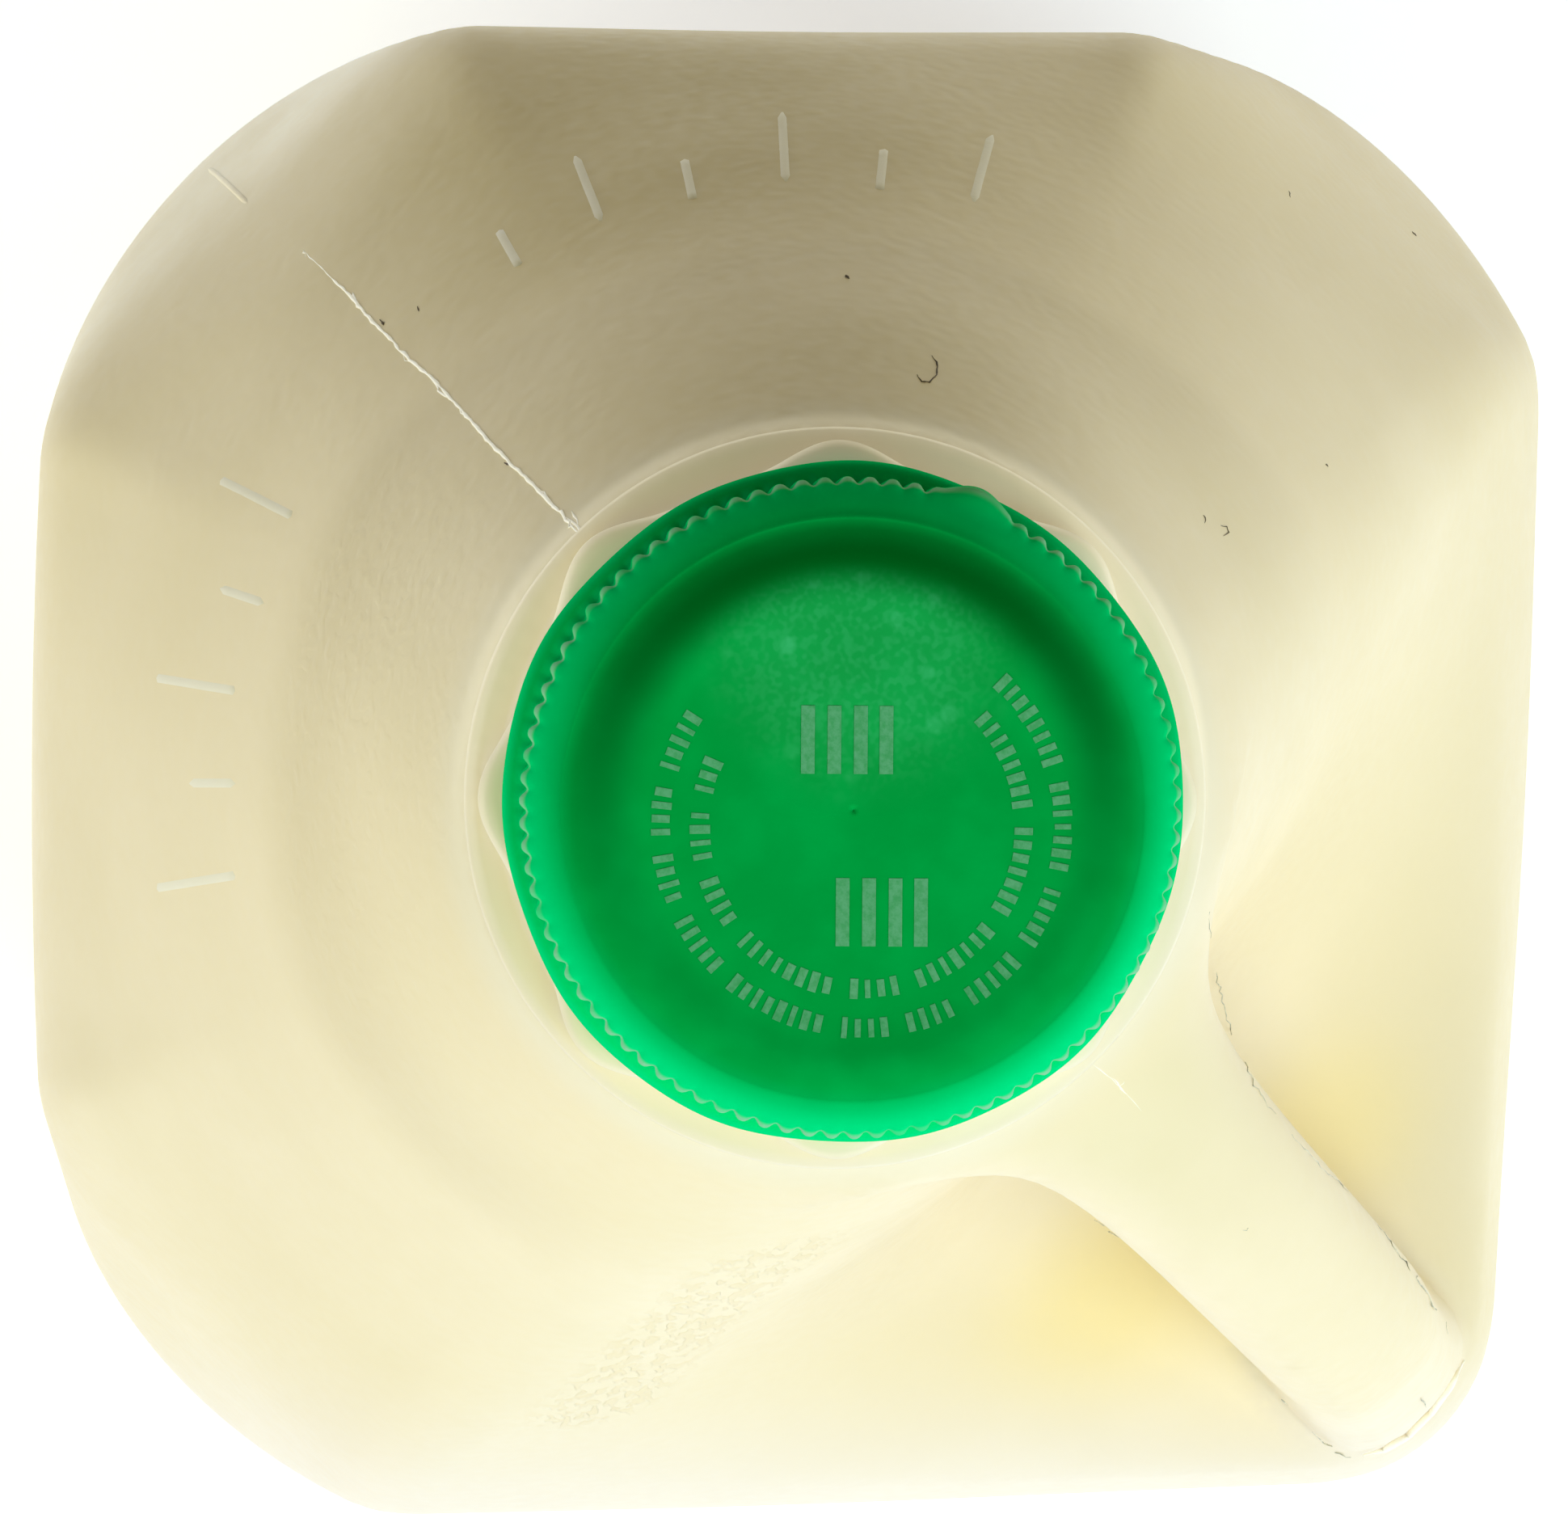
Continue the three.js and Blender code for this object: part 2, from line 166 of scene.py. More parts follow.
def handle_field(x, y, z):
    """Distance to a rounded square section swept along the handle's path."""
    best = np.full(x.shape, 1e9)
    near = np.zeros(x.shape, int)
    for i, (px, pz) in enumerate(PATH):
        d = (x - px) ** 2 + (z - pz) ** 2
        closer = d < best
        best = np.where(closer, d, best)
        near = np.where(closer, i, near)
    px, pz = PATH[near, 0], PATH[near, 1]
    tx, tz = TANGENT[near, 0], TANGENT[near, 1]
    along = (x - px) * tx + (z - pz) * tz
    out = (z - pz) * tx - (x - px) * tz
    centre_x = px + np.clip(along, -1, 1) * tx
    fan = np.exp(-np.maximum(centre_x - HANDLE_ROOT_X, 0) / HANDLE_ROOT_RUN)
    foot = np.maximum((near / (HANDLE_STATIONS - 1) - HANDLE_FOOT_START) / (1 - HANDLE_FOOT_START), 0) ** 2
    half = (HANDLE_WIDTH + (HANDLE_ROOT_WIDTH - HANDLE_WIDTH) * fan + HANDLE_FOOT_FLARE * foot) / 2
    deep = HANDLE_DEPTH / 2
    power = HANDLE_POWER
    q = ((np.abs(y) / half) ** power + (np.abs(out) / deep) ** power) ** (1 / power)
    section = (q - 1) * np.minimum(half, deep)
    beyond = np.where(near == 0, -along, np.where(near == HANDLE_STATIONS - 1, along, -1e9))
    return np.maximum(section, beyond)


def jug_field(x, y, z):
    """Signed distance, roughly, to the outside of the body and handle."""
    body = body_field(x, y, z)
    grip = np.full(body.shape, 50.0)
    near = (x > -5) & (np.abs(y) < 26) & (z > 84)
    grip[near] = handle_field(x[near], y[near], z[near])
    low, high = JOIN_BLENDS
    blend = low + (high - low) * np.clip((z - JOIN_Z) / JOIN_RISE, 0, 1)
    return smooth_min(body, grip, blend)


def milk_field(x, y, z):
    return np.maximum(jug_field(x, y, z) + MILK_INSET * WALL, z - MILK_Z)


def net_surface(field, low, cell):
    """Quads along a sampled field's zero surface, turned outward."""
    inside = field < 0
    nx, ny, nz = field.shape
    total = np.zeros((nx - 1, ny - 1, nz - 1, 3))
    count = np.zeros(total.shape[:3])

    def shifted(c):
        return field[c[0] : nx - 1 + c[0], c[1] : ny - 1 + c[1], c[2] : nz - 1 + c[2]]

    for c in np.ndindex(2, 2, 2):
        for axis in range(3):
            if c[axis]:
                continue
            e = tuple(1 if i == axis else v for i, v in enumerate(c))
            fa, fb = shifted(c), shifted(e)
            cross = (fa < 0) != (fb < 0)
            t = np.where(cross, fa / np.where(cross, fa - fb, 1), 0)
            for m in range(3):
                total[..., m] += cross * (c[m] + (t if m == axis else 0))
            count += cross
    active = count > 0
    index = np.full(active.shape, -1)
    index[active] = np.arange(active.sum())
    verts = np.array(low, float) + cell * (np.argwhere(active) + total[active] / count[active][:, None])
    quads = []
    for axis in range(3):
        o1, o2 = (axis + 1) % 3, (axis + 2) % 3
        a = np.delete(inside, -1, axis)
        b = np.delete(inside, 0, axis)
        edges = np.argwhere(a != b)
        edges = edges[(edges[:, o1] > 0) & (edges[:, o2] > 0)]
        ring = []
        for d1, d2 in ((0, 0), (1, 0), (1, 1), (0, 1)):
            e = edges.copy()
            e[:, o1] -= d1
            e[:, o2] -= d2
            ring.append(index[tuple(e.T)])
        quad = np.stack(ring, 1)
        outward = inside[tuple(edges.T)]
        quad[~outward] = quad[~outward][:, ::-1]
        quads.append(quad)
    return verts, np.vstack(quads)


def gradient(function, v, h=0.25):
    """Slope of a field at points."""
    parts = []
    for axis in range(3):
        d = np.zeros(3)
        d[axis] = h
        parts.append(function(*(v + d).T) - function(*(v - d).T))
    return np.stack(parts, 1) / (2 * h)


def skin_of(function, level, cell, rounds=2, low=(-72, -75, -3), high=(82, 75, 208)):
    """Quads of the surface where function is level, each point drawn onto it."""
    axes = [np.arange(a, b + cell, cell) for a, b in zip(low, high)]
    grid = np.meshgrid(*axes, indexing="ij")
    verts, quads = net_surface(function(*grid) - level, low, cell)
    for _ in range(rounds):
        slope = gradient(function, verts)
        miss = function(*verts.T) - level
        reach = np.clip(miss / np.maximum((slope**2).sum(1), 0.05), -cell, cell)
        verts = verts - slope * (0.9 * reach)[:, None]
    return verts, quads


def make_piece(name, verts, faces, material, smooth=True):
    """A mesh in metres from points in mm about the neck's axis."""
    mesh = bpy.data.meshes.new(name)
    points = (np.asarray(verts, float) + (NECK_X, 0, 0)) * MM
    mesh.from_pydata(points.tolist(), [], [list(map(int, f)) for f in faces])
    mesh.update()
    if smooth:
        mesh.polygons.foreach_set("use_smooth", [True] * len(mesh.polygons))
    piece = bpy.data.objects.new(name, mesh)
    bpy.context.scene.collection.objects.link(piece)
    piece.data.materials.append(material)
    return piece


def turned(levels, slices):
    """A closed ring about the axis: each level is (radius, z) or a function of the angles that gives them."""
    angles = np.linspace(0, 2 * math.pi, slices, endpoint=False)
    rows = []
    for level in levels:
        r, z = level(angles) if callable(level) else level
        r, z = np.broadcast_to(r, angles.shape), np.broadcast_to(z, angles.shape)
        rows.append(np.stack([r * np.cos(angles), r * np.sin(angles), z], 1))
    verts = np.vstack(rows)
    i = np.arange(slices)
    j = (i + 1) % slices
    faces = []
    for k in range(len(levels)):
        a, b = k * slices, ((k + 1) % len(levels)) * slices
        faces.append(np.stack([a + i, a + j, b + j, b + i], 1))
    return verts, np.vstack(faces)


def joined(parts):
    """One set of points and quads from several."""
    verts, faces, start = [], [], 0
    for v, f in parts:
        verts.append(v)
        faces.append(np.asarray(f) + start)
        start += len(v)
    return np.vstack(verts), np.vstack(faces)


class Nodes:
    """Short way to build a node tree."""

    def __init__(self, name):
        self.material = bpy.data.materials.new(name)
        self.material.use_nodes = True
        self.tree = self.material.node_tree
        self.shader = self.tree.nodes["Principled BSDF"]
        self.coords = self.add("ShaderNodeTexCoord").outputs["Object"]

    def add(self, kind, inputs=(), **settings):
        node = self.tree.nodes.new(kind)
        for key, value in settings.items():
            setattr(node, key, value)
        for key, value in dict(inputs).items():
            self.put(node.inputs[key], value)
        return node

    def put(self, socket, value):
        if isinstance(value, bpy.types.NodeSocket):
            self.tree.links.new(value, socket)
        else:
            socket.default_value = value

    def math(self, operation, a, b=0.0, clamp=False):
        node = self.add("ShaderNodeMath", {0: a, 1: b}, operation=operation, use_clamp=clamp)
        return node.outputs[0]

    def times(self, a, b):
        return self.math("MULTIPLY", a, b)

    def vector(self, operation, a, b):
        return self.add("ShaderNodeVectorMath", {0: a, 1: b}, operation=operation).outputs

    def ramp(self, value, low, high, to_low=0.0, to_high=1.0):
        """Smooth step of a value from low to high."""
        sockets = {"Value": value, "From Min": low, "From Max": high, "To Min": to_low, "To Max": to_high}
        return self.add("ShaderNodeMapRange", sockets, interpolation_type="SMOOTHSTEP").outputs[0]

    def noise(self, size_mm, detail=3.0, rough=0.5, vector=None):
        sockets = {"Vector": vector or self.coords, "Scale": 1 / (size_mm * MM)}
        sockets.update({"Detail": detail, "Roughness": rough})
        return self.add("ShaderNodeTexNoise", sockets).outputs["Fac"]

    def cells(self, size_mm):
        """Distance to the nearest of scattered points."""
        sockets = {"Vector": self.coords, "Scale": 1 / (size_mm * MM)}
        return self.add("ShaderNodeTexVoronoi", sockets, feature="F1").outputs["Distance"]

    def mix(self, factor, a, b):
        node = self.add("ShaderNodeMix", data_type="RGBA")
        self.put(node.inputs[0], factor)
        self.put(node.inputs[6], a)
        self.put(node.inputs[7], b)
        return node.outputs[2]

    def spot(self, centre_mm, radius_mm, soft=0.6):
        """1 within a ball about a point of the part's frame, fading to 0 at its radius."""
        centre = tuple(v * MM for v in centre_mm)
        far = self.vector("DISTANCE", self.coords, centre)["Value"]
        return self.ramp(far, radius_mm * MM, radius_mm * (1 - soft) * MM)

    def stripe(self, start_mm, end_mm, radius_mm, soft=0.6):
        """1 about the line between two points, fading to 0 at its radius."""
        start, along = Vector(start_mm) * MM, (Vector(end_mm) - Vector(start_mm)) * MM
        here = self.vector("SUBTRACT", self.coords, tuple(start))[0]
        part = self.vector("DOT_PRODUCT", here, tuple(along))["Value"]
        share = self.math("DIVIDE", part, along.length_squared, clamp=True)
        sockets = {0: tuple(along), "Scale": share}
        nearest = self.add("ShaderNodeVectorMath", sockets, operation="SCALE").outputs[0]
        far = self.vector("DISTANCE", here, nearest)["Value"]
        return self.ramp(far, radius_mm * MM, radius_mm * (1 - soft) * MM)

    def place(self):
        """x and z, the radius about the neck's axis, and the way from it toward the picture's lower edge."""
        x, y, z = self.add("ShaderNodeSeparateXYZ", {0: self.coords}).outputs
        out = self.math("SUBTRACT", x, NECK_X * MM)
        radius = self.math("SQRT", self.math("ADD", self.times(out, out), self.times(y, y)))
        down = self.times(self.math("SUBTRACT", out, y), math.sqrt(0.5))
        return x, z, radius, down

    def bump(self, height, distance_mm, normal=None):
        sockets = {"Height": height, "Distance": distance_mm * MM, "Strength": 1.0}
        if normal is not None:
            sockets["Normal"] = normal
        return self.add("ShaderNodeBump", sockets).outputs["Normal"]

    def finish(self, **sockets):
        for key, value in sockets.items():
            self.put(self.shader.inputs[key.replace("_", " ")], value)
        return self.material


def rgb(*values):
    """Linear colour of an sRGB one."""
    return tuple(((v / 255 + 0.055) / 1.055) ** 2.4 if v > 10 else v / 255 / 12.92 for v in values) + (1.0,)


def jug_material():
    n = Nodes("jug_plastic")
    x, z, radius, down = n.place()
    mottle = n.noise(9, 1, 0.6)
    broad = n.noise(40, 1, 0.5)
    colour = n.mix(n.ramp(mottle, 0.35, 0.65), (0.90, 0.765, 0.48, 1), (0.92, 0.785, 0.505, 1))
    colour = n.mix(n.ramp(broad, 0.35, 0.7), colour, (0.88, 0.74, 0.44, 1))
    # painted shade: the shoulder on the side away from the light, toward the picture's upper edge, is darker
    painted_shade = n.math("MAXIMUM", n.spot((-46, 26, 156), 38, 0.8), n.times(n.spot((-24, 16, 199), 24, 0.8), 0.8))
    colour = n.mix(n.times(painted_shade, 0.85), colour, (0.60, 0.47, 0.175, 1))
    # the air space over the milk is greyer, shown only on the side away from the light, so this is partly the
    # empty plastic's tone and partly painted shade; a soft dim band runs along the milk's edge
    level = n.math("ADD", z, n.times(n.math("SUBTRACT", n.noise(22, 0), 0.5), 0.010))
    shaded_air = n.times(n.ramp(level, 0.1730, 0.1800), n.ramp(down, 0.012, -0.012))
    colour = n.mix(n.times(shaded_air, 0.2), colour, (0.80, 0.69, 0.42, 1))
    edge = n.times(n.ramp(level, 0.1725, 0.1795), n.ramp(level, 0.1930, 0.1795))
    edge = n.times(edge, n.ramp(x, 0.012, -0.010))
    colour = n.mix(n.times(edge, 0.3), colour, (0.66, 0.53, 0.27, 1))
    # painted shade: deeper yellow in the two pockets beside the handle, where it shades them
    deep = n.math("MAXIMUM", n.spot((45.0, 9.5, 119), 13, 0.9), n.spot((42.0, -11.5, 121), 15, 0.9))
    colour = n.mix(n.times(deep, 0.6), colour, (0.94, 0.75, 0.30, 1))
    # painted light: paler walls along the lower edge, the side toward the light
    lit_low_edge = n.ramp(down, 0.042, 0.058)
    colour = n.mix(n.times(lit_low_edge, 0.6), colour, (0.93, 0.825, 0.68, 1))
    # painted light: a paler wall about the neck, where the cap's shade is lifted
    painted_neck_light = n.ramp(radius, 0.0262, 0.0235)
    colour = n.mix(n.times(painted_neck_light, 0.4), colour, (0.86, 0.81, 0.62, 1))
    # droplets inside the air space, fine waxy grain elsewhere
    drops = n.ramp(n.noise(0.8, 0), 0.40, 0.75)
    wet = n.times(n.ramp(z, 0.1745, 0.1795), n.spot((-29, -24, 184), 34, 0.7))
    normal = n.bump(n.times(drops, wet), 0.02)
    grain = n.noise(1.1, 0)
    normal = n.bump(grain, 0.035, normal=normal)
    waves = n.noise(14, 0)
    normal = n.bump(waves, 0.5, normal=normal)
    # a band of small crinkles along the crease between the shoulder and the left pocket
    band = n.stripe((19.5, -44, 145), (17, -25.5, 179), 7.5, 0.5)
    stretched = n.vector("MULTIPLY", n.coords, (1.0, 1.0, 0.35))[0]
    crinkles = n.ramp(n.noise(0.95, 1, 0.6, vector=stretched), 0.46, 0.60)
    crinkled = n.times(crinkles, band)
    normal = n.bump(crinkled, 0.08, normal=normal)
    colour = n.mix(n.times(crinkled, 0.35), colour, (0.80, 0.63, 0.30, 1))
    rough = n.math("ADD", n.times(grain, 0.16), 0.34)
    # light that comes through the wall's outer edge and the bare collar
    rim = n.times(n.ramp(z, 0.136, 0.120), n.ramp(x, -0.030, -0.050))
    rim = n.times(rim, n.ramp(mottle, 0.2, 0.8, 0.7, 1.3))
    collar = n.times(n.ramp(radius, 0.0250, 0.0232), n.ramp(z, 0.2015, 0.2030))
    collar = n.times(collar, n.ramp(down, 0.010, -0.016))
    glow = n.mix(n.times(rim, 0.11), (0, 0, 0, 1), (0.75, 0.9, 1.0, 1))
    glow = n.mix(n.times(collar, 0.17), glow, (1.0, 0.92, 0.68, 1))
    return n.finish(
        Base_Color=colour,
        Roughness=rough,
        Normal=normal,
        IOR=1.5,
        Specular_IOR_Level=0.35,
        Emission_Color=glow,
        Emission_Strength=1.0,
    )


def milk_material():
    n = Nodes("milk")
    swirl = n.noise(16, 3, 0.5)
    colour = n.mix(n.ramp(swirl, 0.3, 0.7), rgb(246, 239, 214), rgb(250, 244, 222))
    normal = n.bump(n.noise(12, 2), 0.1)
    return n.finish(
        Base_Color=colour,
        Roughness=0.3,
        Normal=normal,
        Subsurface_Weight=0.3,
        Subsurface_Scale=2 * MM,
    )


def cap_material():
    n = Nodes("cap_plastic")
    _, z, radius, down = n.place()
    mottle = n.noise(5, 2, 0.6)
    colour = n.mix(n.ramp(mottle, 0.35, 0.7), (0, 0.36, 0.055, 1), (0, 0.41, 0.068, 1))
    # moisture behind the panel shows as blurred paler dots
    patch = n.times(n.spot((-11.5, 7.2, 230.4), 10.5, 0.6), n.ramp(radius, 0.0150, 0.0135))
    few = n.ramp(n.noise(5, 1), 0.42, 0.55)
    dots = n.times(n.ramp(n.cells(1.9), 0.16, 0.36, 1.0, 0.0), few)
    mist = n.ramp(n.noise(0.35, 0), 0.35, 0.75, 0.4, 1.0)
    haze = n.times(n.math("ADD", n.times(dots, 0.35), n.times(mist, 0.28)), patch)
    colour = n.mix(haze, colour, (0.07, 0.60, 0.25, 1))
    # painted shade: a soft dark ring where the plug ring under the top blocks light through the plastic,
    # fainter toward the light
    shade = n.times(n.ramp(radius, 0.0118, 0.0148), n.ramp(radius, 0.0182, 0.0150))
    shade = n.times(shade, n.ramp(down, -0.018, 0.012, 1.0, 0.12))
    colour = n.mix(shade, colour, (0, 0.097, 0.009, 1))
    # painted light: the cap's outer edge and skirt are a paler green, most on the side toward the light
    skirt = n.ramp(radius, 0.0162, 0.0192)
    skirt = n.times(skirt, n.ramp(down, -0.022, 0.014, 0.45, 1.0))
    colour = n.mix(skirt, colour, (0, 0.67, 0.19, 1))
    # painted highlight: a paler, broken line along the top edge of the flutes
    painted_crest_highlight = n.times(n.ramp(z, 0.2268, 0.2272), n.ramp(z, 0.2279, 0.2275))
    colour = n.mix(n.times(painted_crest_highlight, n.ramp(mottle, 0.3, 0.6, 0.15, 0.75)), colour, (0.30, 0.54, 0.34, 1))
    grain = n.noise(0.6, 1, 0.6)
    normal = n.bump(grain, 0.012)
    normal = n.bump(n.noise(4.5, 2), 0.05, normal=normal)
    rough = n.math("ADD", n.times(mottle, 0.15), 0.27)
    return n.finish(
        Base_Color=colour,
        Roughness=rough,
        Normal=normal,
        Specular_IOR_Level=0.0,
    )


def print_material():
    n = Nodes("cap_print")
    wear = n.noise(0.5, 4, 0.7)
    colour = n.mix(n.ramp(wear, 0.35, 0.7), rgb(84, 174, 122), rgb(48, 160, 92))
    return n.finish(Base_Color=colour, Roughness=0.45, Normal=n.bump(wear, 0.01))


def raised_material():
    n = Nodes("jug_raised")
    grain = n.noise(1.1, 3, 0.6)
    colour = n.mix(n.noise(6), (0.87, 0.80, 0.58, 1), (0.89, 0.82, 0.62, 1))
    rough = n.math("ADD", n.times(grain, 0.16), 0.4)
    return n.finish(Base_Color=colour, Roughness=rough, Normal=n.bump(grain, 0.03))


def dirt_material():
    n = Nodes("dirt")
    colour = n.mix(n.noise(0.5), rgb(70, 58, 40), rgb(120, 104, 76))
    return n.finish(Base_Color=colour, Roughness=0.8, Normal=n.bump(n.noise(0.2), 0.02))


# painted shade: grey for the thin lines in the creases along the handle's edges
def handle_edge_shade_material():
    n = Nodes("jug_handle_edge_shade")
    colour = n.mix(n.ramp(n.noise(1.2), 0.4, 0.6), rgb(228, 222, 194), rgb(180, 176, 152))
    return n.finish(Base_Color=colour, Roughness=0.45, Normal=n.bump(n.noise(0.4), 0.02))


# painted highlight: the flash ridge glows faintly, standing in for the glints along it
def flash_material():
    n = Nodes("jug_flash")
    colour = n.mix(n.noise(1.5), rgb(252, 249, 236), rgb(240, 232, 206))
    return n.finish(
        Base_Color=colour,
        Roughness=0.25,
        Normal=n.bump(n.noise(0.7), 0.03),
        Specular_IOR_Level=0.6,
        Emission_Color=(1.0, 0.95, 0.82, 1),
        Emission_Strength=0.16,
    )


JUG, MILK, CAP = jug_material(), milk_material(), cap_material()
RAISED = raised_material()
PRINT, DIRT, FLASH, HANDLE_EDGE_SHADE = print_material(), dirt_material(), flash_material(), handle_edge_shade_material()

# Camera, fitted to the photograph's perspective: its tilt and place in mm, and the picture in pixels
ROLL, EYE_RIGHT, EYE_DOWN, EYE_Z = math.radians(0.394), -14.902, -9.605, 571.0
FOCAL_PX, WIDE_PX, TALL_PX = 7200.0, 1940.0, 1904.0
NECK_PX, PX_PER_MM = (1045, 995), 20.4
across, down = Vector((1, 1, 0)) / math.sqrt(2), Vector((1, -1, 0)) / math.sqrt(2)
right = math.cos(ROLL) * across - math.sin(ROLL) * down
below = math.sin(ROLL) * across + math.cos(ROLL) * down
plumb_right = NECK_PX[0] + EYE_RIGHT * PX_PER_MM - WIDE_PX / 2
plumb_down = NECK_PX[1] + EYE_DOWN * PX_PER_MM - TALL_PX / 2
foot = Vector((plumb_right, plumb_down, FOCAL_PX)).normalized()
first = (Vector((1, 0, 0)) - foot.x * foot).normalized()
second = foot.cross(first)
world_axes = (right, below, Vector((0, 0, -1)))
axes = []
for i in range(3):
    axes.append(sum((row[i] * axis for row, axis in zip((first, second, foot), world_axes)), Vector()))
camera = bpy.data.objects.new("camera", bpy.data.cameras.new("camera"))
bpy.context.scene.collection.objects.link(camera)
eye = (EYE_RIGHT * right + EYE_DOWN * below + Vector((NECK_X, 0, EYE_Z))) * MM
aim = Matrix((axes[0], -axes[1], -axes[2])).transposed().to_4x4()
camera.matrix_world = Matrix.Translation(eye) @ aim
camera.data.sensor_width = 36.0
camera.data.lens = FOCAL_PX / WIDE_PX * 36.0
camera.data.clip_start, camera.data.clip_end = 0.01, 10.0
bpy.context.scene.camera = camera


COLLAR_Z = 207.0  # the rays start above the body, at the collar's height


def on_jug(pixels):
    """Points of the jug's surface, in mm from the neck's axis, that the photograph shows at these pixels."""
    pixels = np.atleast_2d(np.array(pixels, float))
    start = (np.array(eye) / MM) - (NECK_X, 0, 0)
    x_axis, y_axis, ahead = (np.array(axis) for axis in axes)
    rays = (pixels[:, :1] - WIDE_PX / 2) * x_axis + (pixels[:, 1:] - TALL_PX / 2) * y_axis + FOCAL_PX * ahead
    rays /= np.linalg.norm(rays, axis=1)[:, None]
    far = (start[2] - COLLAR_Z) / -rays[:, 2]
    for _ in range(60):
        far = far + 0.8 * np.maximum(jug_field(*(start + rays * far[:, None]).T), -2.0)
    return start + rays * far[:, None]


# Jug: body and handle, then the neck
outer, outer_quads = skin_of(jug_field, 0.0, OUTER_CELL)
inner, inner_quads = skin_of(jug_field, -WALL, INNER_CELL)


def without_disc(verts, quads, radius, height):
    """Drops the quads that would close the neck's bore."""
    centre = verts[quads].mean(1)
    return quads[~((np.hypot(centre[:, 0], centre[:, 1]) < radius) & (centre[:, 2] > height))]


BORE_R, BORE_Z = 20.5, 204.4
outer_quads = without_disc(outer, outer_quads, BORE_R, BORE_Z)
inner_quads = without_disc(inner, inner_quads, BORE_R - 0.9, BORE_Z - WALL)[:, ::-1]


def lobed(radius, height, lobe=0.55):
    """The collar's eight lobes stand at the corners and the middles of the walls."""
    return lambda angles: (radius + lobe * (np.cos(8 * angles) + 0.25 * np.cos(16 * angles)), height)


neck_levels = [
    (19.7, 203.0), (22.4, 203.2), (23.2, 204.1), (23.4, 204.6), (23.2, 205.1), (22.5, 205.6), (21.4, 205.9),
    lobed(21.0, 206.3, 0.7), lobed(21.3, 206.8, 0.85), lobed(21.4, 207.8, 0.85), lobed(21.35, 208.8, 0.85),
    lobed(21.0, 209.3, 0.75), lobed(20.6, 209.5, 0.5), (19.8, 209.6), (18.8, 209.9), (17.8, 210.6),
    (17.3, 211.6),
    (17.3, 226.2), (17.1, 226.8), (16.6, 227.0), (16.2, 227.0), (15.8, 226.8), (15.7, 226.3),
    (15.7, 210.0), (17.0, 209.2), (19.2, 208.6), (19.65, 207.6),
]
neck, neck_quads = turned(neck_levels, 256)
jug_verts, jug_quads = joined([(outer, outer_quads), (inner, inner_quads), (neck, neck_quads)])
jug = make_piece("jug_shell", jug_verts, jug_quads, JUG)
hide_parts("jug")
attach(jug, "root")

milk_verts, milk_quads = skin_of(milk_field, 0.0, MILK_CELL, rounds=1, high=(82, 75, 182))
milk = make_piece("milk_fill", milk_verts, milk_quads, MILK)
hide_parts("milk")
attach(milk, "root")

# Cap
TEETH = 90
TAB_AZIMUTH = math.radians(113)


def tab(angles):
    """The pull tab's place on the skirt, 1 at its middle."""
    turn = (angles - TAB_AZIMUTH + math.pi) % (2 * math.pi) - math.pi
    return np.clip(np.cos(np.clip(turn / math.radians(9.5), -1, 1) * math.pi) * 0.5 + 0.5, 0, 1)


def fluted(radius, height, depth, lift):
    """A ring of fine flutes, lifted outward at the tab."""

    def level(angles):
        wave = np.cos(TEETH * angles)
        wave = wave - 0.18 * np.cos(2 * TEETH * angles)
        t = tab(angles)
        return radius + depth * wave * (1 - np.clip(3 * t, 0, 1)) + lift * t, height

    return level


def wavy(radius, height, depth=0.1):
    """A slightly uneven ring."""

    def level(angles):
        wave = np.cos(5 * angles + 0.7) + 0.6 * np.cos(11 * angles)
        return radius + depth * wave, height

    return level


PANEL = (
    (15.0, 230.78), (14.6, 230.77), (14.2, 230.73), (13.8, 230.67), (13.3, 230.6), (12.6, 230.54),
    (11.5, 230.5), (9.0, 230.49), (4.0, 230.5), (0.4, 230.5), (0.02, 230.5),
)


def panel_height(radius):
    """Height of the cap's panel at a radius."""
    radii, heights = zip(*PANEL[::-1])
    return float(np.interp(radius, radii, heights))


cap_levels = [
    (17.7, 211.3), (19.9, 211.2), wavy(20.45, 211.6), wavy(20.65, 212.4), wavy(20.75, 215.0),
    wavy(20.75, 217.2), wavy(20.6, 217.9), wavy(20.4, 218.2), wavy(20.15, 218.3),
    fluted(19.5, 218.4, 0.06, 0.4),
    fluted(19.5, 219.0, 0.2, 0.7), fluted(19.5, 222.0, 0.22, 0.9), fluted(19.48, 226.0, 0.22, 1.0),
    fluted(19.45, 227.0, 0.21, 0.95), fluted(19.36, 227.45, 0.17, 0.9), fluted(19.2, 227.8, 0.1, 0.7),
    fluted(18.98, 228.15, 0.03, 0.4), (18.7, 228.55), (18.3, 229.05), (17.85, 229.5), (17.35, 229.9),
    (17.2, 230.06), (17.1, 230.08), (16.95, 230.1), (16.5, 230.35), (16.0, 230.56), (15.5, 230.7), *PANEL,
    (0.02, 229.4), (9.0, 229.35), (15.3, 229.3), (16.6, 228.6), (17.4, 227.7), (17.7, 226.5),
]
cap_verts, cap_quads = turned(cap_levels, TEETH * 12)
cap = make_piece("cap_shell", cap_verts, cap_quads, CAP)
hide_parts("cap")
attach(cap, "root")


def image_angle(degrees):
    """Azimuth of a direction that the photograph shows clockwise from its right."""
    return math.radians(45 - degrees)


# Generic print on the panel: two broken arcs and two blocks of bars
PRINT_LIFT = 0.03
print_verts, print_faces = [], []
rng = np.random.default_rng(7)


